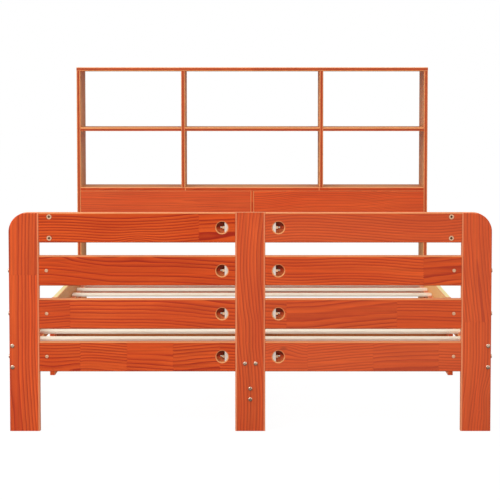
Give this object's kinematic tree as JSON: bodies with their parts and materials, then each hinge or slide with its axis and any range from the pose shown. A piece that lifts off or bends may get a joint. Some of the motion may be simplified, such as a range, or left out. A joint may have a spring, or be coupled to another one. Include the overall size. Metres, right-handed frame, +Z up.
{
  "type": "storage headboard bed",
  "caption": "Stained pine double bed with a slatted footboard, a slatted base and an open bookcase of compartments as its headboard.",
  "frame": {"origin": "on the floor, under the centre of the whole bed", "axes": "+X to the right as seen from the foot end, +Y from the foot end to the bookcase, +Z up"},
  "size_m": [1.4466, 2.2684, 1.107],
  "materials": {
    "stained_pine": "reddish stained and lacquered pine",
    "bare_pine": "bare planed pine",
    "nickel": "nickel plated steel",
    "zinc": "bright zinc plated steel"
  },
  "bodies": {
    "root": {"board_barrel_nuts": "zinc", "board_bolts": "nickel", "bookcase_apron_left": "stained_pine", "bookcase_apron_right": "stained_pine", "bookcase_centre_panel": "stained_pine", "bookcase_divider_left": "stained_pine", "bookcase_divider_right": "stained_pine", "bookcase_low_shelf_centre": "stained_pine", "bookcase_low_shelf_left": "stained_pine", "bookcase_low_shelf_right": "stained_pine", "bookcase_middle_shelf_centre": "stained_pine", "bookcase_middle_shelf_left": "stained_pine", "bookcase_middle_shelf_right": "stained_pine", "bookcase_side_left": "stained_pine", "bookcase_side_right": "stained_pine", "bookcase_top_left": "stained_pine", "bookcase_top_right": "stained_pine", "cam_pins": "zinc", "cams": "zinc", "centre_beam_foot": "stained_pine", "centre_beam_head": "stained_pine", "centre_beam_seat": "stained_pine", "centre_leg": "stained_pine", "cross_beam": "stained_pine", "footboard_board_left_1": "stained_pine", "footboard_board_left_2": "stained_pine", "footboard_board_left_3": "stained_pine", "footboard_board_left_4": "stained_pine", "footboard_board_right_1": "stained_pine", "footboard_board_right_2": "stained_pine", "footboard_board_right_3": "stained_pine", "footboard_board_right_4": "stained_pine", "footboard_centre_post": "stained_pine", "footboard_half_moons": "zinc", "footboard_post_left": "stained_pine", "footboard_post_right": "stained_pine", "footboard_rod_nuts": "zinc", "footboard_tie_rods": "zinc", "frame_barrel_nuts": "zinc", "head_block_left": "stained_pine", "head_block_right": "stained_pine", "head_rail": "stained_pine", "middle_post_left": "stained_pine", "middle_post_right": "stained_pine", "post_bolts": "nickel", "rail_bolts": "nickel", "rail_half_moons": "zinc", "rail_tie_rods": "zinc", "side_rail_left_foot": "stained_pine", "side_rail_left_head": "stained_pine", "side_rail_right_foot": "stained_pine", "side_rail_right_head": "stained_pine", "slat_ledger_left_foot": "stained_pine", "slat_ledger_left_head": "stained_pine", "slat_ledger_right_foot": "stained_pine", "slat_ledger_right_head": "stained_pine", "slats": "bare_pine", "small_nuts": "zinc"}
  },
  "joints": []
}
